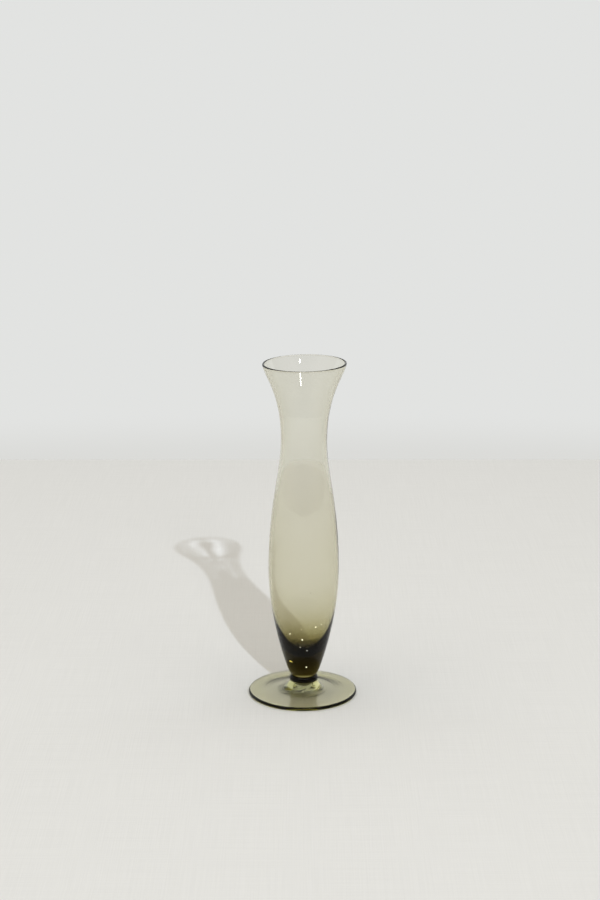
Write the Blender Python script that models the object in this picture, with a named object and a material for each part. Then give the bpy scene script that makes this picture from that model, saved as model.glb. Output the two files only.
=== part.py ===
"""Blown glass bud vase on a foot, built from three pieces that are joined hot.

Metres, +Z up. The origin is the middle of the foot's resting face, on the table.
From the table up the pieces are the foot, the collar and the bowl. Each one is a
turned solid around Z, and neighbours keep JOINT_GAP between their seats.
"""

from math import cos, pi, sin

import bmesh
import bpy
from mathutils import Matrix, Vector
from mathutils.geometry import interpolate_bezier

# Whole vase
VASE_HEIGHT = 0.180
STEPS_AROUND = 48
JOINT_GAP = 0.0003
SEAT_DEPTH = 0.0005      # how far each piece's rounded end dips into the seat below it

# Foot: a spun disc with a hub
FOOT_RADIUS = 0.0288
EDGE_THICKNESS = 0.0019
HUB_HEIGHT = 0.00645     # table to the hub's rim
HUB_RADIUS = 0.0063      # also the radius of the joint between the hub and the collar
HUB_SPREAD = 0.0050      # how much wider the hub is where it meets the disc
PLATE_HEIGHT = 0.0024    # table to the disc's top, at the hub
RING_WIDTH = 0.0025      # the flat ring that the vase stands on
UNDERSIDE_RISE = 0.0007  # how far the underside is clear of the table
DOME_RADIUS = 0.0120     # the hollow under the hub
HUB_GLASS = 0.00135      # glass left between that hollow and the hub's seat

# Collar: the wafer between the hub and the bowl
COLLAR_HEIGHT = 0.00335
COLLAR_BULGE = 0.00135   # how far it stands out past the hub's joint
COLLAR_WIDEST = 0.47     # where it is widest, as a share of its height
NECK_RADIUS = 0.0064     # the joint between the collar and the bowl

# Bowl: outer form
SHOULDER_RISE = 0.0030   # bowl's lowest edge to where its side begins
SHOULDER_OUT = 0.0018    # and how far that is outside the joint
SHOULDER_LEAN = 0.40     # radians from upright
BELLY_RISE = 0.0585      # bowl's lowest edge to its widest place
BELLY_RADIUS = 0.01856
WAIST_RADIUS = 0.01202
FLARE_HEIGHT = 0.0403    # waist to rim
RIM_RADIUS = 0.0218
RIM_LEAN = 0.17          # radians from upright

# Bowl: inside
WALL = 0.00105           # from the belly up to the rim
BASE_THICKNESS = 0.0124  # solid glass under the cavity
FLOOR_ROUND = 0.0105     # how far the cavity's floor runs out before it turns up

# Fullness of each curved stretch: its end handle as a share of the stretch's size
HUB_FULLNESS_ABOVE = 0.48
HUB_FULLNESS_BELOW = 0.52
HUB_DROOP = 0.13
DISC_FULLNESS = 0.30
UNDERSIDE_FULLNESS = 0.45
UNDERSIDE_LIFT = 0.20
DOME_FULLNESS = 0.45
COLLAR_FULLNESS_BELOW = 0.75
COLLAR_FULLNESS_ABOVE = 0.60
NECK_FULLNESS = 0.35
NECK_DROOP = 0.15
SHOULDER_FULLNESS_BELOW = 0.50
SHOULDER_FULLNESS = 0.11
BELLY_FULLNESS_BELOW = 0.44
BELLY_FULLNESS_ABOVE = 0.51
WAIST_FULLNESS_BELOW = 0.26
WAIST_FULLNESS_ABOVE = 0.60
RIM_FULLNESS = 0.16
CAVITY_FULLNESS = 0.62

# Points along each stretch of an outline
LONG_STEPS = 10
SHORT_STEPS = 4
LIP_STEPS = 3

# Mesh settings
MERGE_DISTANCE = 1e-6
SHARP_ANGLE = 0.7        # radians

# Levels that follow from the sizes above
COLLAR_BASE = HUB_HEIGHT + JOINT_GAP
COLLAR_TOP = COLLAR_BASE + COLLAR_HEIGHT
BOWL_BASE = COLLAR_TOP + JOINT_GAP
BELLY_HEIGHT = BOWL_BASE + BELLY_RISE
WAIST_HEIGHT = VASE_HEIGHT - FLARE_HEIGHT
CAVITY_FLOOR = BOWL_BASE - SEAT_DEPTH + BASE_THICKNESS
DOME_HEIGHT = HUB_HEIGHT - SEAT_DEPTH - HUB_GLASS


def stretch(start, start_handle, end_handle, end, steps):
    """Points of one smooth stretch of an outline, without its last point."""
    corners = [Vector((x, 0.0, z)) for x, z in (start, start_handle, end_handle, end)]
    return interpolate_bezier(*corners, steps + 1)[:-1]


def upright(start, start_lean, end, end_lean, steps):
    """A stretch between two places on a side, each with a handle along Z."""
    rise = end[1] - start[1]
    first = (start[0], start[1] + start_lean * rise)
    last = (end[0], end[1] - end_lean * rise)
    return stretch(start, first, last, end, steps)


def round_edge(centre, radius, start_angle, end_angle, steps):
    """Points of an arc about centre, both ends included, angles from +X towards +Z."""
    points = []
    for i in range(steps + 1):
        angle = start_angle + (end_angle - start_angle) * i / steps
        points.append(Vector((centre[0] + radius * cos(angle), 0.0, centre[1] + radius * sin(angle))))
    return points


def seat(edge_height, edge_radius, depth):
    """A shallow dish from the axis out to its edge, edge not included."""
    points = []
    for i in range(SHORT_STEPS):
        share = i / SHORT_STEPS
        points.append(Vector((edge_radius * share, 0.0, edge_height - depth * (1 - share * share))))
    return points


def turned(name, outline, colour, roughness):
    """Spins an outline, given from the axis and back to it, into a closed solid."""
    mesh = bpy.data.meshes.new(name)
    bm = bmesh.new()
    points = [bm.verts.new(point) for point in outline]
    lines = [bm.edges.new(pair) for pair in zip(points, points[1:])]
    bmesh.ops.spin(
        bm,
        geom=points + lines,
        cent=(0, 0, 0),
        axis=(0, 0, 1),
        angle=2 * pi,
        steps=STEPS_AROUND,
        use_merge=True,
    )
    bmesh.ops.remove_doubles(bm, verts=bm.verts, dist=MERGE_DISTANCE)
    bmesh.ops.recalc_face_normals(bm, faces=bm.faces)
    bm.to_mesh(mesh)
    bm.free()
    mesh.shade_smooth()
    mesh.set_sharp_from_angle(angle=SHARP_ANGLE)
    mesh.materials.append(glass(name, colour, roughness))
    piece = bpy.data.objects.new(name, mesh)
    bpy.context.scene.collection.objects.link(piece)
    return piece


def glass(name, colour, roughness):
    """Smoke-coloured glass."""
    material = bpy.data.materials.new(name + "_glass")
    material.use_nodes = True
    shader = material.node_tree.nodes["Principled BSDF"]
    shader.inputs["Base Color"].default_value = (*colour, 1.0)
    shader.inputs["Roughness"].default_value = roughness
    shader.inputs["Metallic"].default_value = 0.0
    shader.inputs["IOR"].default_value = 1.5
    shader.inputs["Transmission Weight"].default_value = 1.0
    return material


def foot():
    """Spun disc: seat, hub, top, rounded edge, resting ring, underside and its hollow."""
    half_edge = EDGE_THICKNESS / 2
    edge_centre = (FOOT_RADIUS - half_edge, half_edge)
    edge_top = (edge_centre[0], EDGE_THICKNESS)
    hub_base = (HUB_RADIUS + HUB_SPREAD, PLATE_HEIGHT)
    hub_drop = HUB_HEIGHT - PLATE_HEIGHT
    disc_width = edge_top[0] - hub_base[0]
    outline = seat(HUB_HEIGHT, HUB_RADIUS, SEAT_DEPTH)
    outline += stretch(
        (HUB_RADIUS, HUB_HEIGHT),
        (HUB_RADIUS + HUB_SPREAD * HUB_FULLNESS_ABOVE, HUB_HEIGHT - hub_drop * HUB_DROOP),
        (hub_base[0] - HUB_SPREAD * HUB_FULLNESS_BELOW, PLATE_HEIGHT + hub_drop * HUB_DROOP),
        hub_base,
        LONG_STEPS,
    )
    outline += stretch(
        hub_base,
        (hub_base[0] + disc_width * DISC_FULLNESS, EDGE_THICKNESS),
        (edge_top[0] - disc_width * DISC_FULLNESS, EDGE_THICKNESS),
        edge_top,
        SHORT_STEPS,
    )
    outline += round_edge(edge_centre, half_edge, pi / 2, -pi / 2, 2 * SHORT_STEPS)
    ring_inside = (edge_centre[0] - RING_WIDTH, 0.0)
    dome_edge = (DOME_RADIUS, UNDERSIDE_RISE)
    hollow_width = ring_inside[0] - DOME_RADIUS
    outline += stretch(
        ring_inside,
        (ring_inside[0] - hollow_width * UNDERSIDE_FULLNESS, UNDERSIDE_RISE * UNDERSIDE_LIFT),
        (DOME_RADIUS + hollow_width * UNDERSIDE_FULLNESS, UNDERSIDE_RISE),
        dome_edge,
        SHORT_STEPS,
    )
    outline += stretch(
        dome_edge,
        (DOME_RADIUS * (1 - DOME_FULLNESS), UNDERSIDE_RISE),
        (DOME_RADIUS * DOME_FULLNESS, DOME_HEIGHT),
        (0.0, DOME_HEIGHT),
        LONG_STEPS,
    )
    outline.append(Vector((0.0, 0.0, DOME_HEIGHT)))
    return turned("foot", outline, (0.55, 0.54, 0.42), 0.04)


def collar():
    """Small wafer, dished on top for the bowl and drawn in below for the hub."""
    widest = (HUB_RADIUS + COLLAR_BULGE, COLLAR_BASE + COLLAR_HEIGHT * COLLAR_WIDEST)
    below = seat(COLLAR_BASE, HUB_RADIUS, SEAT_DEPTH)
    side = upright((HUB_RADIUS, COLLAR_BASE), 0.0, widest, COLLAR_FULLNESS_BELOW, SHORT_STEPS)
    side += upright(widest, COLLAR_FULLNESS_ABOVE, (NECK_RADIUS, COLLAR_TOP), 0.0, SHORT_STEPS)
    top = seat(COLLAR_TOP, NECK_RADIUS, SEAT_DEPTH)
    rim = [Vector((NECK_RADIUS, 0.0, COLLAR_TOP))]
    return turned("collar", below + side + rim + top[::-1], (0.42, 0.41, 0.30), 0.03)


def bowl():
    """Blown body: rounded base, belly, waist and flare, a polished lip, and the cavity."""
    shoulder = (NECK_RADIUS + SHOULDER_OUT, BOWL_BASE + SHOULDER_RISE)
    lean = Vector((sin(SHOULDER_LEAN), cos(SHOULDER_LEAN)))
    side_height = BELLY_HEIGHT - shoulder[1]
    lower_handle = lean * SHOULDER_RISE * SHOULDER_FULLNESS_BELOW
    lip_centre = (RIM_RADIUS - WALL / 2, VASE_HEIGHT - WALL / 2)
    belly = (BELLY_RADIUS, BELLY_HEIGHT)
    waist = (WAIST_RADIUS, WAIST_HEIGHT)

    outline = seat(BOWL_BASE, NECK_RADIUS, SEAT_DEPTH)
    outline += stretch(
        (NECK_RADIUS, BOWL_BASE),
        (NECK_RADIUS + SHOULDER_OUT * NECK_FULLNESS, BOWL_BASE + SHOULDER_RISE * NECK_DROOP),
        (shoulder[0] - lower_handle.x, shoulder[1] - lower_handle.y),
        shoulder,
        SHORT_STEPS,
    )
    first_handle = lean * side_height * SHOULDER_FULLNESS
    outline += stretch(
        shoulder,
        (shoulder[0] + first_handle.x, shoulder[1] + first_handle.y),
        (belly[0], belly[1] - side_height * BELLY_FULLNESS_BELOW),
        belly,
        LONG_STEPS,
    )
    outline += upright(belly, BELLY_FULLNESS_ABOVE, waist, WAIST_FULLNESS_BELOW, LONG_STEPS)
    outline += flare(waist, lip_centre, WALL / 2)
    outline += round_edge(lip_centre, WALL / 2, -RIM_LEAN, pi / 2, LIP_STEPS)[:-1]
    outline += round_edge(lip_centre, WALL / 2, pi / 2, pi - RIM_LEAN, LIP_STEPS)

    inner_waist = (WAIST_RADIUS - WALL, WAIST_HEIGHT)
    inner_belly = (BELLY_RADIUS - WALL, BELLY_HEIGHT)
    depth = BELLY_HEIGHT - CAVITY_FLOOR
    cavity = stretch(
        (0.0, CAVITY_FLOOR),
        (FLOOR_ROUND, CAVITY_FLOOR),
        (inner_belly[0], inner_belly[1] - depth * CAVITY_FULLNESS),
        inner_belly,
        LONG_STEPS + 2,
    )
    cavity += upright(inner_belly, BELLY_FULLNESS_ABOVE, inner_waist, WAIST_FULLNESS_BELOW, LONG_STEPS - 2)
    cavity += flare(inner_waist, lip_centre, -WALL / 2)
    return turned("bowl", outline + cavity[::-1], (0.50, 0.49, 0.36), 0.03)


def flare(waist, lip_centre, side):
    """The stretch from the waist to the lip, side being its distance from the lip's middle."""
    end = (lip_centre[0] + side * cos(RIM_LEAN), lip_centre[1] - side * sin(RIM_LEAN))
    rise = end[1] - waist[1]
    return stretch(
        waist,
        (waist[0], waist[1] + rise * WAIST_FULLNESS_ABOVE),
        (end[0] - rise * RIM_FULLNESS * sin(RIM_LEAN), end[1] - rise * RIM_FULLNESS * cos(RIM_LEAN)),
        end,
        LONG_STEPS - 2,
    )


for old in list(bpy.data.objects):
    bpy.data.objects.remove(old, do_unlink=True)

vase = bpy.data.objects.new("vase", None)
bpy.context.scene.collection.objects.link(vase)
for piece in (foot(), collar(), bowl()):
    piece.parent = vase
    piece.matrix_parent_inverse = Matrix.Identity(4)
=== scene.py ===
"""Looks of a blown, smoke-coloured glass bud vase: a bowl, a collar and a foot."""

from math import cos, hypot, pi, radians, sin, sqrt, tan

import bmesh
import bpy
from mathutils import Matrix, Vector
from mathutils.geometry import interpolate_bezier
from mathutils.noise import noise


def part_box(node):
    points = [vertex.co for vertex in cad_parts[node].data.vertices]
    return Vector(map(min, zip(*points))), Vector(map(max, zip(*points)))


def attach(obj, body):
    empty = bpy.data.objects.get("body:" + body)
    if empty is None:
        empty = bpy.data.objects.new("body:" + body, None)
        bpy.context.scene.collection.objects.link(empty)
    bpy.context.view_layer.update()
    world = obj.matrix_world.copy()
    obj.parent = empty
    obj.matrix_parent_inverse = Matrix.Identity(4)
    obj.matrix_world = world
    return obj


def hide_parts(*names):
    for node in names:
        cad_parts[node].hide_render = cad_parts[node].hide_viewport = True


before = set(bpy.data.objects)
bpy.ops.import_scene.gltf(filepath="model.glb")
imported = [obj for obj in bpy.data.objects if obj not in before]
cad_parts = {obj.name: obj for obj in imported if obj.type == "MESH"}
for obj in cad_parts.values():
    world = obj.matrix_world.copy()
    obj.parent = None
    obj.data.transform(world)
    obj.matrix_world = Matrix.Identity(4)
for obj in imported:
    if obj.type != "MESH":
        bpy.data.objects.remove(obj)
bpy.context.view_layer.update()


# ---------------------------------------------------------------- table
# A long table under an off-white linen cloth, laid flat. The cloth is woven from slightly
# uneven threads, so it has a faint weave and slubs.

TABLE_HALF_WIDTH = 2.0
TABLE_FRONT = -3.0
TABLE_BACK = 0.487
TABLE_TOP = -0.0001
CLOTH_COLOUR = (0.785, 0.787, 0.768)
# how much darker the cloth is painted where the weave lies low: painted shade between the threads
CLOTH_WEAVE_SHADE = 0.035
THREADS_PER_METRE = 1500.0
SLUBS_PER_METRE = 20.0
SECOND_THREAD_SHIFT = (3.0, 7.0, 0.0)
WEAVE_DEPTH = 0.00012
WEAVE_STRENGTH = 0.6
PATCH_EDGES = (0.3, 0.7)


class Signal:
    """A shader socket that takes part in Python expressions."""

    def __init__(self, tree, socket):
        self.tree = tree
        self.socket = socket

    def node(self, kind, settings=None, inputs=None, output=0):
        """Adds any node: its settings first, then its sockets' values or links."""
        node = self.tree.nodes.new(kind)
        for name, value in (settings or {}).items():
            setattr(node, name, value)
        for name, value in (inputs or {}).items():
            if isinstance(value, Signal):
                self.tree.links.new(value.socket, node.inputs[name])
            else:
                node.inputs[name].default_value = value
        return Signal(self.tree, node.outputs[output])

    def maths(self, operation, first, second=0.0):
        return self.node("ShaderNodeMath", {"operation": operation}, {0: first, 1: second})

    def __add__(self, other):
        return self.maths("ADD", self, other)

    def __radd__(self, other):
        return self.maths("ADD", other, self)

    def __sub__(self, other):
        return self.maths("SUBTRACT", self, other)

    def __rsub__(self, other):
        return self.maths("SUBTRACT", other, self)

    def __mul__(self, other):
        return self.maths("MULTIPLY", self, other)

    def __rmul__(self, other):
        return self.maths("MULTIPLY", other, self)

    def part(self, axis):
        """One number of a vector, axis being 0, 1 or 2."""
        return self.node("ShaderNodeSeparateXYZ", None, {0: self}, axis)

    def stretched(self, scale, shift=(0.0, 0.0, 0.0)):
        return self.node("ShaderNodeMapping", None, {0: self, "Location": shift, "Scale": scale})

    def cloud(self, scale):
        """Soft random patches from 0 to 1 over these coordinates."""
        return self.node("ShaderNodeTexNoise", None, {"Vector": self, "Scale": scale})

    def ramp(self, low, high):
        """0 below low, 1 above high, and smooth between them."""
        settings = {"interpolation_type": "SMOOTHSTEP"}
        return self.node("ShaderNodeMapRange", settings, {"Value": self, "From Min": low, "From Max": high})

    def blend(self, at_zero, at_one):
        """The colour between two colours at this share."""
        first, second = (c if isinstance(c, Signal) else (*c, 1.0) for c in (at_zero, at_one))
        return self.node("ShaderNodeMix", {"data_type": "RGBA"}, {"Factor": self, 6: first, 7: second}, 2)

    def feeds(self, node, name):
        self.tree.links.new(self.socket, node.inputs[name])


def new_material(name, **settings):
    """A material, its Principled shader with plain values set, and object coordinates."""
    material = bpy.data.materials.new(name)
    material.use_nodes = True
    shader = material.node_tree.nodes["Principled BSDF"]
    for socket, value in settings.items():
        shader.inputs[socket.replace("_", " ")].default_value = value
    start = Signal(material.node_tree, None)
    return material, shader, start.node("ShaderNodeTexCoord", output="Object")


def shaded(colour, share):
    return tuple(channel * share for channel in colour)


def linen():
    material, shader, place = new_material("linen", Roughness=0.9, Specular_IOR_Level=0.1)
    across = place.stretched((SLUBS_PER_METRE, THREADS_PER_METRE, 1.0)).cloud(1.0)
    along_scale = (THREADS_PER_METRE, SLUBS_PER_METRE, 1.0)
    along = place.stretched(along_scale, SECOND_THREAD_SHIFT).cloud(1.0)
    weave = (across + along) * 0.5
    # painted shade: the cloth's colour is darker where the weave, which also drives the bump, lies low
    painted_shade_between_threads = shaded(CLOTH_COLOUR, 1 - CLOTH_WEAVE_SHADE)
    weave.ramp(*PATCH_EDGES).blend(painted_shade_between_threads, CLOTH_COLOUR).feeds(shader, "Base Color")
    bump = {"Height": weave, "Distance": WEAVE_DEPTH, "Strength": WEAVE_STRENGTH}
    weave.node("ShaderNodeBump", None, bump).feeds(shader, "Normal")
    return material


def laid_cloth():
    corners = [
        (-TABLE_HALF_WIDTH, TABLE_FRONT, TABLE_TOP),
        (TABLE_HALF_WIDTH, TABLE_FRONT, TABLE_TOP),
        (TABLE_HALF_WIDTH, TABLE_BACK, TABLE_TOP),
        (-TABLE_HALF_WIDTH, TABLE_BACK, TABLE_TOP),
    ]
    mesh = bpy.data.meshes.new("table_cloth")
    bm = bmesh.new()
    bm.faces.new([bm.verts.new(corner) for corner in corners])
    bm.to_mesh(mesh)
    bm.free()
    mesh.materials.append(linen())
    sheet = bpy.data.objects.new("table_cloth", mesh)
    bpy.context.scene.collection.objects.link(sheet)
    return sheet


cloth = laid_cloth()


# ---------------------------------------------------------------- light and camera
# One small cool key lamp in front and to the right, a small white lamp close to it that
# draws the streak on the flare, a wide warm fill overhead, and a dim beige room, whose
# far side, past the end of the table, is a lit white wall.

KEY_DIRECTION = Vector((0.195, -0.808, 0.557))
KEY_COLOUR = (0.92, 1.0, 1.14)
KEY_STRENGTH = 0.74
KEY_ANGLE = 0.8
STRIP_AZIMUTH = radians(13.6)
STRIP_ELEVATION = radians(35.5)
STRIP_DISTANCE = 1.5
STRIP_SIZE = (0.09, 0.20)
STRIP_STRENGTH = 0.75
FILL_PLACE = (0.0, -0.26, 1.8)
FILL_SIZE = (2.4, 1.6)
FILL_COLOUR = (1.0, 0.985, 0.94)
FILL_STRENGTH = 8.7
ROOM_BEIGE = (0.36, 0.33, 0.295)
ROOM_DARK = (0.13, 0.115, 0.10)
FAR_WALL = (0.555, 0.559, 0.552)
FAR_WALL_FOOT = (0.522, 0.523, 0.511)
# where these parts of the room begin and end, as parts of a direction of length 1
DARK_BEHIND_CAMERA = (0.55, 0.97)
DARK_TO_THE_RIGHT = (0.1, 0.8)
RIGHT_SHARE = 0.5
FAR_WALL_SIDES = (0.2, 0.35)
FAR_WALL_FOOT_HEIGHT = (-0.256, -0.232)
CAMERA_PLACE = (-0.00195, -1.0368, 0.4025)
CAMERA_PITCH = radians(90 - 14.534)
CAMERA_LENS = 82.42
SENSOR_WIDTH = 36.0


def lamp(name, kind, strength, colour, place, towards):
    """A lamp at place, turned so that its light comes from the direction towards."""
    light = bpy.data.lights.new(name, kind)
    light.energy = strength
    light.color = colour
    holder = bpy.data.objects.new(name, light)
    holder.location = place
    holder.rotation_mode = "QUATERNION"
    holder.rotation_quaternion = Vector(towards).to_track_quat("Z", "Y")
    bpy.context.scene.collection.objects.link(holder)
    return light


def dim_room():
    """Beige all round, darker behind the camera and to its right, white past the table."""
    world = bpy.data.worlds.new("room")
    world.use_nodes = True
    background = world.node_tree.nodes["Background"]
    towards = Signal(world.node_tree, None).node("ShaderNodeTexCoord", output="Generated")
    front = (0.0 - towards.part(1)).ramp(*DARK_BEHIND_CAMERA)
    right = towards.part(0).ramp(*DARK_TO_THE_RIGHT) * RIGHT_SHARE
    room = front.maths("MAXIMUM", front, right).blend(ROOM_BEIGE, ROOM_DARK)
    wall = towards.part(2).ramp(*FAR_WALL_FOOT_HEIGHT).blend(FAR_WALL_FOOT, FAR_WALL)
    towards.part(1).ramp(*FAR_WALL_SIDES).blend(room, wall).feeds(background, "Color")
    return world


key = lamp("key", "SUN", KEY_STRENGTH, KEY_COLOUR, (0, 0, 0), KEY_DIRECTION)
key.angle = radians(KEY_ANGLE)
key.cycles.is_caustics_light = True
strip_towards = Vector((
    sin(STRIP_AZIMUTH) * cos(STRIP_ELEVATION),
    -cos(STRIP_AZIMUTH) * cos(STRIP_ELEVATION),
    sin(STRIP_ELEVATION),
))
strip = lamp("strip", "AREA", STRIP_STRENGTH, (1, 1, 1), strip_towards * STRIP_DISTANCE, strip_towards)
strip.shape = "RECTANGLE"
strip.size, strip.size_y = STRIP_SIZE
fill = lamp("fill", "AREA", FILL_STRENGTH, FILL_COLOUR, FILL_PLACE, (0, 0, 1))
fill.shape = "RECTANGLE"
fill.size, fill.size_y = FILL_SIZE
bpy.context.scene.world = dim_room()

camera = bpy.data.cameras.new("camera")
camera.lens = CAMERA_LENS
camera.sensor_width = SENSOR_WIDTH
camera_object = bpy.data.objects.new("camera", camera)
camera_object.location = CAMERA_PLACE
camera_object.rotation_euler = (CAMERA_PITCH, 0.0, 0.0)
bpy.context.scene.collection.objects.link(camera_object)
bpy.context.scene.camera = camera_object
bpy.context.scene.view_settings.view_transform = "Standard"
bpy.context.scene.view_settings.look = "High Contrast"


# ---------------------------------------------------------------- bowl
# Blown from one gather of smoke glass on a pipe, with the base left solid. The mouth was
# cut free, opened into a flare and fire-polished into a thin rounded lip, so it isn't
# quite level, and the walls have the slight waviness of hand-blown glass.

MM = 0.001
STEPS_AROUND = 192
SEAT_STEPS = 10
MERGE_DISTANCE = 1e-7

bowl_low, bowl_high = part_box("bowl")
collar_low, collar_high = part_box("collar")
foot_low, foot_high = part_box("foot")

SEAT_DEPTH = 0.5 * MM
NECK_RADIUS = 6.4 * MM
SHOULDER_RISE = 3.0 * MM
SHOULDER_OUT = 1.8 * MM
SHOULDER_LEAN = 0.40
BELLY_RISE = 58.5 * MM
BELLY_RADIUS = 18.56 * MM
WAIST_RADIUS = 12.02 * MM
FLARE_HEIGHT = 40.3 * MM
RIM_LEAN = 0.17
WALL = 1.05 * MM
BASE_THICKNESS = 12.4 * MM
FLOOR_ROUND = 10.5 * MM
NECK_FULLNESS = 0.35
NECK_DROOP = 0.15
SHOULDER_FULLNESS_BELOW = 0.50
SHOULDER_FULLNESS = 0.11
BELLY_FULLNESS_BELOW = 0.44
BELLY_FULLNESS_ABOVE = 0.51
WAIST_FULLNESS_BELOW = 0.26
WAIST_FULLNESS_ABOVE = 0.60
RIM_FULLNESS = 0.16
CAVITY_FULLNESS = 0.62

# slips of hand work, each with the heights between which it grows to its full size
RIM_TILT = radians(0.9)
RIM_SHIFT = 0.34 * MM
RIM_SLIP_HEIGHTS = (120 * MM, 178 * MM)
WAVY_FROM_HEIGHTS = (14 * MM, 40 * MM)
CALM_RIM_HEIGHTS = (165 * MM, 178 * MM)
CALM_RIM_SHARE = 0.8
INSIDE_WAVE_SHIFT = 5.0
WAVINESS_OUTSIDE = 0.03 * MM
WAVINESS_INSIDE = 0.05 * MM
WAVES_AROUND = 1.6
WAVES_PER_METRE = 28.0

# how strongly a metre of each glass takes red, green and blue light, and how the darker
# heart lies in the bowl: its cover of paler glass, where it swells, and where it fades out
BOWL_STAIN = (55.0, 62.0, 110.0)
HEART_STAIN = (135.0, 149.0, 262.0)
HEART_COVER_OUTSIDE = 0.40 * MM
HEART_COVER_INSIDE = 0.35 * MM
HEART_SWELL = 0.31 * MM
HEART_SWELL_START = (24 * MM, 32 * MM)
HEART_SWELL_END = (46 * MM, 66 * MM)
HEART_LIFT = 1.2 * MM
HEART_FADE = 0.32 * MM
HEART_FADE_HEIGHTS = (50 * MM, 146 * MM)
THINNEST_HEART = 0.01 * MM
GLASS_IOR = 1.5
CORD_SCALE = 70.0
CORD_STRETCH = (1.0, 1.0, 0.35)
CORD_DEPTH = 0.008 * MM
JOINT_MARGIN = 0.1 * MM

weld_high = (collar_high.z + bowl_low.z + SEAT_DEPTH) / 2
weld_low = (foot_high.z + collar_low.z + SEAT_DEPTH) / 2


def stretch(start, start_handle, end_handle, end, steps):
    """Points of one smooth stretch of an outline, without its last point."""
    corners = [Vector((x, 0.0, z)) for x, z in (start, start_handle, end_handle, end)]
    return interpolate_bezier(*corners, steps + 1)[:-1]


def upright(start, start_lean, end, end_lean, steps):
    """A stretch between two places on a side, each with a handle along Z."""
    rise = end[1] - start[1]
    first = (start[0], start[1] + start_lean * rise)
    last = (end[0], end[1] - end_lean * rise)
    return stretch(start, first, last, end, steps)


def arc(centre, radius, start_angle, end_angle, steps):
    points = []
    for i in range(steps + 1):
        angle = start_angle + (end_angle - start_angle) * i / steps
        points.append(Vector((centre[0] + radius * cos(angle), 0.0, centre[1] + radius * sin(angle))))
    return points


def seat(edge_height, edge_radius):
    """The shallow dish of a joint, from the axis out to its edge, edge not included."""
    points = []
    for i in range(SEAT_STEPS):
        share = i / SEAT_STEPS
        points.append(Vector((edge_radius * share, 0.0, edge_height - SEAT_DEPTH * (1 - share * share))))
    return points


def smooth_share(value, low, high):
    share = min(1.0, max(0.0, (value - low) / (high - low)))
    return share * share * (3 - 2 * share)


def turned(outline):
    """Spins an outline, given from the axis and back to it, into a closed mesh."""
    bm = bmesh.new()
    points = [bm.verts.new(point) for point in outline]
    lines = [bm.edges.new(pair) for pair in zip(points, points[1:])]
    bmesh.ops.spin(
        bm,
        geom=points + lines,
        cent=(0, 0, 0),
        axis=(0, 0, 1),
        angle=2 * pi,
        steps=STEPS_AROUND,
        use_merge=True,
    )
    bmesh.ops.remove_doubles(bm, verts=bm.verts, dist=MERGE_DISTANCE)
    bmesh.ops.recalc_face_normals(bm, faces=bm.faces)
    return bm


def finished(name, bm, materials, node=None):
    """Makes the mesh a smooth piece that rides on the vase and stands for a CAD node."""
    mesh = bpy.data.meshes.new(name)
    bm.to_mesh(mesh)
    bm.free()
    mesh.shade_smooth()
    for material in materials:
        mesh.materials.append(material)
    piece = bpy.data.objects.new(name, mesh)
    bpy.context.scene.collection.objects.link(piece)
    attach(piece, "root")
    if node:
        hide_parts(node)
    return piece


def stain(material, taken):
    """Fills a glass with the smoke stain: the thicker the glass, the darker and yellower."""
    tree = material.node_tree
    density = max(taken)
    volume = tree.nodes.new("ShaderNodeVolumeAbsorption")
    volume.inputs["Color"].default_value = (*(1 - channel / density for channel in taken), 1.0)
    volume.inputs["Density"].default_value = density
    tree.links.new(volume.outputs["Volume"], tree.nodes["Material Output"].inputs["Volume"])
    return material


def fused_glass(name, taken):
    """Where glass goes on into glass: the stain begins, and nothing bends the light."""
    material = stain(new_material(name)[0], taken)
    tree = material.node_tree
    tree.nodes.remove(tree.nodes["Principled BSDF"])
    clear = tree.nodes.new("ShaderNodeBsdfTransparent")
    tree.links.new(clear.outputs["BSDF"], tree.nodes["Material Output"].inputs["Surface"])
    return material


def blown_glass():
    """Fire-polished glass with faint cords, the drawn-out streaks of an uneven gather."""
    material, shader, place = new_material(
        "blown_glass", Base_Color=(1, 1, 1, 1), Roughness=0.0, IOR=GLASS_IOR, Transmission_Weight=1.0
    )
    cords = place.stretched(CORD_STRETCH).cloud(CORD_SCALE)
    bump = {"Height": cords, "Distance": CORD_DEPTH, "Strength": 1.0}
    cords.node("ShaderNodeBump", None, bump).feeds(shader, "Normal")
    return stain(material, BOWL_STAIN)


def weld_faces(bm, heights, radius):
    """Gives the faces of the joints at these heights the second material."""
    for face in bm.faces:
        middle = face.calc_center_median()
        for height in heights:
            near = height - SEAT_DEPTH - JOINT_MARGIN < middle.z < height + JOINT_MARGIN
            if near and hypot(middle.x, middle.y) < radius:
                face.material_index = 1


def flare(waist, lip, side):
    """The stretch from the waist to the lip, side being its distance from the lip's middle."""
    end = (lip[0] + side * cos(RIM_LEAN), lip[1] - side * sin(RIM_LEAN))
    rise = end[1] - waist[1]
    return stretch(
        waist,
        (waist[0], waist[1] + rise * WAIST_FULLNESS_ABOVE),
        (end[0] - rise * RIM_FULLNESS * sin(RIM_LEAN), end[1] - rise * RIM_FULLNESS * cos(RIM_LEAN)),
        end,
        36,
    )


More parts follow.
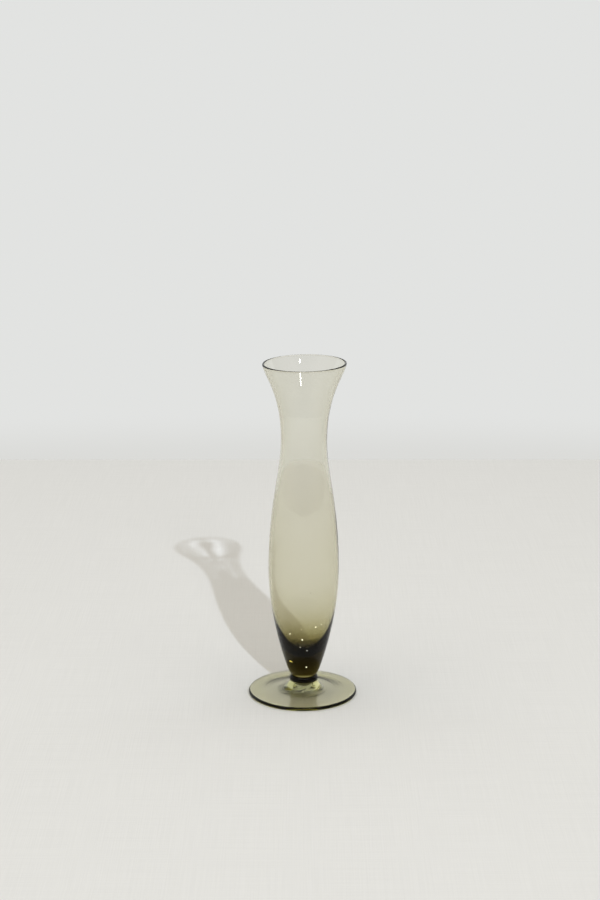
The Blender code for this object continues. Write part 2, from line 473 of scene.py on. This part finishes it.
def bowl_outside():
    shoulder = (NECK_RADIUS + SHOULDER_OUT, weld_high + SHOULDER_RISE)
    lean = Vector((sin(SHOULDER_LEAN), cos(SHOULDER_LEAN)))
    belly = (BELLY_RADIUS, weld_high + BELLY_RISE)
    waist = (WAIST_RADIUS, bowl_high.z - FLARE_HEIGHT)
    lip = (bowl_high.x - WALL / 2, bowl_high.z - WALL / 2)
    side_height = belly[1] - shoulder[1]
    below = lean * SHOULDER_RISE * SHOULDER_FULLNESS_BELOW
    above = lean * side_height * SHOULDER_FULLNESS
    outline = seat(weld_high, NECK_RADIUS)
    outline += stretch(
        (NECK_RADIUS, weld_high),
        (NECK_RADIUS + SHOULDER_OUT * NECK_FULLNESS, weld_high + SHOULDER_RISE * NECK_DROOP),
        (shoulder[0] - below.x, shoulder[1] - below.y),
        shoulder,
        12,
    )
    outline += stretch(
        shoulder,
        (shoulder[0] + above.x, shoulder[1] + above.y),
        (belly[0], belly[1] - side_height * BELLY_FULLNESS_BELOW),
        belly,
        40,
    )
    outline += upright(belly, BELLY_FULLNESS_ABOVE, waist, WAIST_FULLNESS_BELOW, 40)
    outline += flare(waist, lip, WALL / 2)
    return outline + arc(lip, WALL / 2, -RIM_LEAN, pi - RIM_LEAN, 12)


def bowl_inside():
    floor = weld_high - SEAT_DEPTH + BASE_THICKNESS
    belly = (BELLY_RADIUS - WALL, weld_high + BELLY_RISE)
    waist = (WAIST_RADIUS - WALL, bowl_high.z - FLARE_HEIGHT)
    lip = (bowl_high.x - WALL / 2, bowl_high.z - WALL / 2)
    below_belly = (belly[0], belly[1] - (belly[1] - floor) * CAVITY_FULLNESS)
    cavity = stretch((0.0, floor), (FLOOR_ROUND, floor), below_belly, belly, 50)
    cavity += upright(belly, BELLY_FULLNESS_ABOVE, waist, WAIST_FULLNESS_BELOW, 36)
    return cavity + flare(waist, lip, -WALL / 2)


def by_hand(bm):
    """The slips of hand work: waves in both walls, and a mouth that is a little off level."""
    bm.normal_update()
    for vert in bm.verts:
        radius = hypot(vert.co.x, vert.co.y)
        height = vert.co.z
        if radius > MM:
            around = Vector((vert.co.x, vert.co.y, 0.0)) / radius
            is_inside = vert.normal.dot(around) < 0
            calm = 1 - CALM_RIM_SHARE * smooth_share(height, *CALM_RIM_HEIGHTS)
            depth = WAVINESS_INSIDE if is_inside else WAVINESS_OUTSIDE
            depth *= smooth_share(height, *WAVY_FROM_HEIGHTS) * calm
            wave = Vector((around.x * WAVES_AROUND, around.y * WAVES_AROUND, height * WAVES_PER_METRE))
            vert.co += around * depth * noise(wave + Vector((INSIDE_WAVE_SHIFT * is_inside, 0.0, 0.0)))
        slip = smooth_share(height, *RIM_SLIP_HEIGHTS)
        vert.co.z += slip * vert.co.x * tan(RIM_TILT)
        vert.co.x += slip * RIM_SHIFT


outer_side = [point for point in bowl_outside() if weld_high < point.z < bowl_high.z - FLARE_HEIGHT]


def outer_radius(height):
    """The bowl's outer radius at a height between its shoulder and its waist."""
    for below, above in zip(outer_side, outer_side[1:]):
        if below.z <= height <= above.z:
            return below.x + (above.x - below.x) * (height - below.z) / (above.z - below.z)
    return WAIST_RADIUS


def heart_swell(height):
    """How much nearer to the wall's two faces the dark heart comes, low in the belly."""
    started = smooth_share(height, *HEART_SWELL_START)
    ended = smooth_share(height, *HEART_SWELL_END)
    return HEART_SWELL * started * (1 - ended)


def heart_outline():
    """The dark heart of the gather: the solid base, drawn out thin up into the walls."""
    bottom = weld_high + HEART_LIFT
    cavity = bowl_inside()
    top = [cavity[0] - Vector((0.0, 0.0, HEART_COVER_INSIDE))]
    for below, here, above in zip(cavity, cavity[1:], cavity[2:]):
        run = above - below
        faded = HEART_FADE * smooth_share(here.z, *HEART_FADE_HEIGHTS)
        cover = HEART_COVER_INSIDE - heart_swell(here.z) + faded
        place = here + Vector((run.z, 0.0, -run.x)).normalized() * cover
        side = outer_radius(place.z) - HEART_COVER_OUTSIDE + heart_swell(place.z)
        if side - place.x < THINNEST_HEART:
            break
        top.append(place)
    side = []
    for point in outer_side:
        if bottom < point.z < top[-1].z:
            radius = point.x - HEART_COVER_OUTSIDE + heart_swell(point.z)
            side.append(Vector((radius, 0.0, point.z)))
    return [Vector((0.0, 0.0, bottom)), Vector((side[0].x, 0.0, bottom))] + side + top[::-1]


bowl_weld = fused_glass("bowl_weld", BOWL_STAIN)
heart_glass = fused_glass("heart_glass", HEART_STAIN)
bowl_mesh = turned(bowl_outside() + bowl_inside()[::-1])
weld_faces(bowl_mesh, [weld_high], NECK_RADIUS)
by_hand(bowl_mesh)
bowl = finished("blown_bowl", bowl_mesh, [blown_glass(), bowl_weld], "bowl")
finished("smoke_heart", turned(heart_outline()), [heart_glass])


# ---------------------------------------------------------------- seeds
# What the melt left in the bowl's glass: a few air bubbles, drawn as white balls that glow
# as painted glints, and one dark grain; beside the base sits a short stretched yellow mark,
# also with a faint painted glow. They sit inside the wall and the base.

SEED_DEPTH = 0.6 * MM
# sideways, height and radius of each bubble
BUBBLES = [
    (-7.1, 37.2, 0.28),
    (-0.8, 34.3, 0.32),
    (6.2, 41.4, 0.28),
    (9.1, 42.3, 0.18),
    (-1.8, 29.7, 0.18),
    (1.7, 27.8, 0.20),
]
BASE_BUBBLE = Vector((1.3, -7.6, 17.2)) * MM
BASE_BUBBLE_RADIUS = 0.4 * MM
STREAK_PLACE = (-6.6, 20.1)
STREAK_RADIUS = 0.4 * MM
STREAK_STRETCH = 2.6
STREAK_TILT = 0.25
GRAIN_PLACE = (3.6, 61.4)
GRAIN_RADIUS = 0.25 * MM
# the bubbles' white colour and their glow are a painted glint, standing in for light caught in the air
BUBBLE_GLINT_COLOUR = (0.95, 0.96, 0.93)
BUBBLE_PAINTED_GLOW = 1.6
STREAK_COLOUR = (0.95, 0.82, 0.22)
# the yellow mark's faint glow is a painted glint
STREAK_PAINTED_GLOW = 0.35
GRAIN_COLOUR = (0.05, 0.04, 0.03)
SEED_PATCHES = 900.0
STREAK_PATCHES = 700.0
PATCH_SHADE = 0.8


def just_inside(sideways, height, depth):
    """A place in the front of the bowl's wall, this deep under its outer surface."""
    radius = outer_radius(height * MM) - depth
    x = sideways * MM
    return Vector((x, -sqrt(radius * radius - x * x), height * MM))


def seed(bm, place, radius, stretched_by=1.0):
    turn = Matrix.Rotation(STREAK_TILT, 4, "Y")
    shape = Matrix.Translation(place) @ turn @ Matrix.Diagonal((stretched_by, 1, 1, 1))
    bmesh.ops.create_icosphere(bm, subdivisions=3, radius=radius, matrix=shape)


def seed_material(name, colour, painted_glow, patches):
    """A seed's colour with darker random patches, glowing at the given strength: a painted glint."""
    material, shader, place = new_material(
        name, Roughness=0.3, Emission_Color=(*colour, 1.0), Emission_Strength=painted_glow
    )
    darker = shaded(colour, PATCH_SHADE)
    place.cloud(patches).ramp(*PATCH_EDGES).blend(darker, colour).feeds(shader, "Base Color")
    return material


bubble_mesh = bmesh.new()
for sideways, height, radius in BUBBLES:
    seed(bubble_mesh, just_inside(sideways, height, SEED_DEPTH), radius * MM)
seed(bubble_mesh, BASE_BUBBLE, BASE_BUBBLE_RADIUS)
# painted glints: the bubbles glow white though they are no lamp
trapped_air_painted_glint = seed_material("trapped_air_painted_glint", BUBBLE_GLINT_COLOUR, BUBBLE_PAINTED_GLOW, SEED_PATCHES)
finished("air_bubbles", bubble_mesh, [trapped_air_painted_glint])

streak_mesh = bmesh.new()
seed(streak_mesh, just_inside(*STREAK_PLACE, SEED_DEPTH / 2), STREAK_RADIUS, STREAK_STRETCH)
# a short stretched yellow mark that glows faintly: a painted glint
yellow_mark_painted_glint = seed_material("yellow_mark_painted_glint", STREAK_COLOUR, STREAK_PAINTED_GLOW, STREAK_PATCHES)
finished("yellow_streak", streak_mesh, [yellow_mark_painted_glint])

grain_mesh = bmesh.new()
seed(grain_mesh, just_inside(*GRAIN_PLACE, WALL / 2), GRAIN_RADIUS)
burnt_grain = seed_material("burnt_grain", GRAIN_COLOUR, 0.0, SEED_PATCHES)
finished("dark_grain", grain_mesh, [burnt_grain])


# ---------------------------------------------------------------- collar
# A small gather of the same glass, dropped on while hot and squeezed into a wafer, so it
# bulges between the bowl and the hub. Its surface is fire-bright from the last heating.

HUB_RADIUS = 6.3 * MM
COLLAR_BULGE = 1.35 * MM
COLLAR_WIDEST = 0.47
COLLAR_FULLNESS_BELOW = 0.75
COLLAR_FULLNESS_ABOVE = 0.60
COLLAR_STAIN = (110.0, 115.0, 165.0)
JACK_LINES = 2400.0
JACK_STRETCH = (0.05, 0.05, 1.0)
JACK_DEPTH = 0.004 * MM


def collar_glass():
    """Bright glass with the fine turning lines that the jacks left round the wafer."""
    material, shader, place = new_material(
        "collar_glass", Base_Color=(1, 1, 1, 1), Roughness=0.0, IOR=GLASS_IOR, Transmission_Weight=1.0
    )
    lines = place.stretched(JACK_STRETCH).cloud(JACK_LINES)
    bump = {"Height": lines, "Distance": JACK_DEPTH, "Strength": 1.0}
    lines.node("ShaderNodeBump", None, bump).feeds(shader, "Normal")
    return stain(material, COLLAR_STAIN)


def collar_outline():
    height = weld_high - weld_low
    widest = (HUB_RADIUS + COLLAR_BULGE, weld_low + height * COLLAR_WIDEST)
    outline = seat(weld_low, HUB_RADIUS)
    outline += upright((HUB_RADIUS, weld_low), 0.0, widest, COLLAR_FULLNESS_BELOW, 16)
    outline += upright(widest, COLLAR_FULLNESS_ABOVE, (NECK_RADIUS, weld_high), 0.0, 16)
    outline.append(Vector((NECK_RADIUS, 0.0, weld_high)))
    return outline + seat(weld_high, NECK_RADIUS)[::-1]


collar_mesh = turned(collar_outline())
weld_faces(collar_mesh, [weld_high, weld_low], max(NECK_RADIUS, HUB_RADIUS))
collar_weld = fused_glass("collar_weld", COLLAR_STAIN)
collar = finished("joining_collar", collar_mesh, [collar_glass(), collar_weld], "collar")


# ---------------------------------------------------------------- foot
# A gather dropped under the collar and spun out into a disc on a wooden paddle. It has a
# flared hub over a small hollow, a fire-polished edge, and faint rings from the tool.

EDGE = 1.9 * MM
HUB_SPREAD = 5.0 * MM
HUB_FULLNESS_ABOVE = 0.48
HUB_FULLNESS_BELOW = 0.52
HUB_DROOP = 0.13
PLATE_HEIGHT = 2.4 * MM
DISC_FULLNESS = 0.30
RING_WIDTH = 2.5 * MM
UNDERSIDE_RISE = 0.7 * MM
UNDERSIDE_FULLNESS = 0.45
UNDERSIDE_LIFT = 0.2
DOME_RADIUS = 12.0 * MM
HUB_GLASS = 1.35 * MM
DOME_FULLNESS = 0.45
FOOT_SHIFT = -0.55 * MM
FOOT_WAVES = 0.03 * MM
FOOT_WAVES_PER_METRE = 90.0
# radii between which the foot's slips of hand work begin, and the waves end
FOOT_SLIPS_BEGIN = (8 * MM, 14 * MM)
FOOT_WAVES_END = (23 * MM, 26 * MM)
TOOL_CENTRE = (-0.0020, 0.0)
# radius, half width and height of each ring that the tool left
TOOL_RINGS = [
    (8.0, 0.5, 1.2),
    (9.3, 0.45, 1.5),
    (10.4, 0.4, 1.2),
    (11.3, 0.35, 1.0),
    (12.1, 0.25, 0.4),
    (14.2, 0.5, 0.25),
    (19.0, 0.4, 0.3),
    (23.5, 0.6, 0.2),
]
TOOL_DEPTH = 0.04 * MM
RIPPLE_SCALE = 160.0
RIPPLE_SHARE = 0.25
HUB_RIPPLE = 3.0
HUB_RIPPLE_END = (9 * MM, 15 * MM)
HUB_TINT_END = (7.5 * MM, 11.5 * MM)
DISC_TINT = (1.0, 1.0, 1.0)
HUB_TINT = (0.70, 0.71, 0.68)
FOOT_STAIN = (7.0, 9.0, 68.0)


def spun_glass():
    """The disc's glass: rings round the tool's centre, and the ripple of a quick spin."""
    material, shader, place = new_material(
        "spun_glass", Roughness=0.0, IOR=GLASS_IOR, Transmission_Weight=1.0
    )
    x = place.part(0) - TOOL_CENTRE[0]
    y = place.part(1) - TOOL_CENTRE[1]
    radius = place.maths("SQRT", x * x + y * y)
    radius.ramp(*HUB_TINT_END).blend(HUB_TINT, DISC_TINT).feeds(shader, "Base Color")
    near_hub = 1.0 - radius.ramp(*HUB_RIPPLE_END)
    height = place.cloud(RIPPLE_SCALE) * (RIPPLE_SHARE + near_hub * HUB_RIPPLE)
    for middle, half_width, rise in TOOL_RINGS:
        away = radius.maths("ABSOLUTE", radius - middle * MM)
        height = height + (1.0 - away.ramp(0.0, half_width * MM)) * rise
    bump = {"Height": height, "Distance": TOOL_DEPTH, "Strength": 1.0}
    height.node("ShaderNodeBump", None, bump).feeds(shader, "Normal")
    return stain(material, FOOT_STAIN)


def foot_outline():
    edge = (foot_high.x - EDGE / 2, EDGE / 2)
    hub = (HUB_RADIUS + HUB_SPREAD, PLATE_HEIGHT)
    drop = weld_low - PLATE_HEIGHT
    disc_width = edge[0] - hub[0]
    outline = seat(weld_low, HUB_RADIUS)
    outline += stretch(
        (HUB_RADIUS, weld_low),
        (HUB_RADIUS + HUB_SPREAD * HUB_FULLNESS_ABOVE, weld_low - drop * HUB_DROOP),
        (hub[0] - HUB_SPREAD * HUB_FULLNESS_BELOW, PLATE_HEIGHT + drop * HUB_DROOP),
        hub,
        30,
    )
    outline += stretch(
        hub,
        (hub[0] + disc_width * DISC_FULLNESS, EDGE),
        (edge[0] - disc_width * DISC_FULLNESS, EDGE),
        (edge[0], EDGE),
        30,
    )
    outline += arc(edge, EDGE / 2, pi / 2, -pi / 2, 16)
    inside = edge[0] - RING_WIDTH
    hollow_width = inside - DOME_RADIUS
    dome_top = weld_low - SEAT_DEPTH - HUB_GLASS
    outline += stretch(
        (inside, 0.0),
        (inside - hollow_width * UNDERSIDE_FULLNESS, UNDERSIDE_RISE * UNDERSIDE_LIFT),
        (DOME_RADIUS + hollow_width * UNDERSIDE_FULLNESS, UNDERSIDE_RISE),
        (DOME_RADIUS, UNDERSIDE_RISE),
        20,
    )
    outline += stretch(
        (DOME_RADIUS, UNDERSIDE_RISE),
        (DOME_RADIUS * (1 - DOME_FULLNESS), UNDERSIDE_RISE),
        (DOME_RADIUS * DOME_FULLNESS, dome_top),
        (0.0, dome_top),
        24,
    )
    outline.append(Vector((0.0, 0.0, dome_top)))
    return outline


foot_mesh = turned(foot_outline())
weld_faces(foot_mesh, [weld_low], HUB_RADIUS)
for vert in foot_mesh.verts:
    out = hypot(vert.co.x, vert.co.y)
    spread = smooth_share(out, *FOOT_SLIPS_BEGIN)
    level = spread * (1 - smooth_share(out, *FOOT_WAVES_END))
    vert.co.z += FOOT_WAVES * level * noise(vert.co * FOOT_WAVES_PER_METRE)
    vert.co.x += FOOT_SHIFT * spread
foot_weld = fused_glass("foot_weld", FOOT_STAIN)
foot = finished("spun_foot", foot_mesh, [spun_glass(), foot_weld], "foot")


# ---------------------------------------------------------------- light through the glass
# The key lamp's light is bent by the three pieces of glass and gathers in the shadow.

for piece in (bowl, collar, foot):
    piece.cycles.is_caustics_caster = True
cloth.cycles.is_caustics_receiver = True
